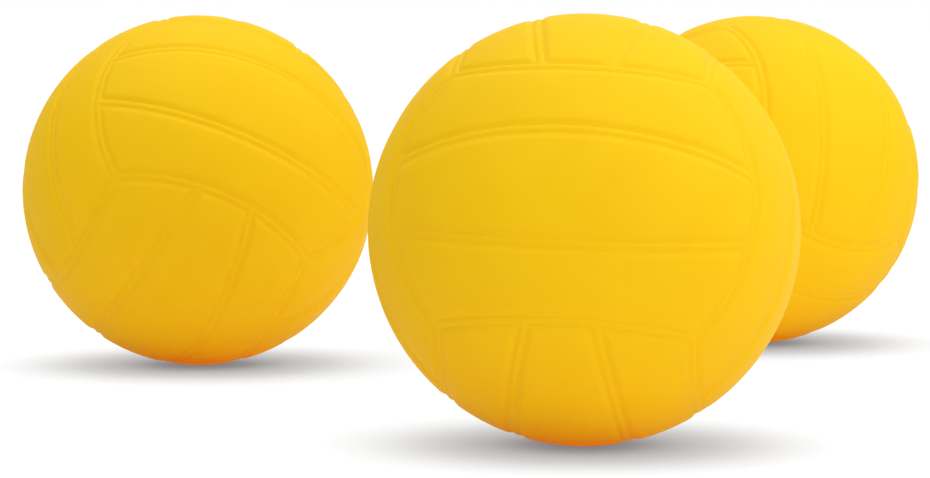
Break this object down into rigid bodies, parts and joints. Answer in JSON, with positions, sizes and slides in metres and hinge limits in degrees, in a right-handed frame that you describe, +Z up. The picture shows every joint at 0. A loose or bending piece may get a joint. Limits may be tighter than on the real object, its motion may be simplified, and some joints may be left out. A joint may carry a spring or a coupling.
{
  "type": "volleyball set",
  "caption": "Loose inflated volleyballs at rest close together on one floor, each with strip panels in crossed faces over raised seam beads, a layered carcass and a needle valve.",
  "frame": {"origin": "on the floor, under the middle of the box round the whole set", "axes": "+Z up; +Y from the nearest ball back, away from the viewer; +X to the viewer's right"},
  "size_m": [0.556, 0.745, 0.21],
  "materials": {
    "cover_panel": "soft matte synthetic leather with a fine grain",
    "foam_cream": "closed-cell foam",
    "carcass_rubber": "moulded rubber, dyed like the cover",
    "winding_thread": "nylon thread wound and glued in all directions",
    "bladder_rubber": "smooth butyl rubber",
    "valve_rubber": "moulded rubber",
    "valve_insert_rubber": "soft self-sealing rubber"
  },
  "bodies": {
    "front_ball": {"front_ball_panels_front": "cover_panel", "front_ball_panels_back": "cover_panel", "front_ball_panels_right": "cover_panel", "front_ball_panels_left": "cover_panel", "front_ball_panels_top": "cover_panel", "front_ball_panels_bottom": "cover_panel", "front_ball_foam": "foam_cream", "front_ball_carcass": "carcass_rubber", "front_ball_winding": "winding_thread", "front_ball_bladder": "bladder_rubber", "front_ball_valve_housing": "valve_rubber", "front_ball_valve_insert": "valve_insert_rubber"},
    "left_ball": {"left_ball_panels_front": "cover_panel", "left_ball_panels_back": "cover_panel", "left_ball_panels_right": "cover_panel", "left_ball_panels_left": "cover_panel", "left_ball_panels_top": "cover_panel", "left_ball_panels_bottom": "cover_panel", "left_ball_foam": "foam_cream", "left_ball_carcass": "carcass_rubber", "left_ball_winding": "winding_thread", "left_ball_bladder": "bladder_rubber", "left_ball_valve_housing": "valve_rubber", "left_ball_valve_insert": "valve_insert_rubber"},
    "right_ball": {"right_ball_panels_front": "cover_panel", "right_ball_panels_back": "cover_panel", "right_ball_panels_right": "cover_panel", "right_ball_panels_left": "cover_panel", "right_ball_panels_top": "cover_panel", "right_ball_panels_bottom": "cover_panel", "right_ball_foam": "foam_cream", "right_ball_carcass": "carcass_rubber", "right_ball_winding": "winding_thread", "right_ball_bladder": "bladder_rubber", "right_ball_valve_housing": "valve_rubber", "right_ball_valve_insert": "valve_insert_rubber"}
  },
  "joints": [
    {"name": "left_ball_roll", "type": "hinge", "parent": "front_ball", "child": "left_ball", "pos_m": [-0.173, 0.126, 0.105], "axis": [1, 0, 0], "continuous": true},
    {"name": "right_ball_roll", "type": "hinge", "parent": "front_ball", "child": "right_ball", "pos_m": [0.173, 0.2675, 0.105], "axis": [1, 0, 0], "continuous": true}
  ]
}
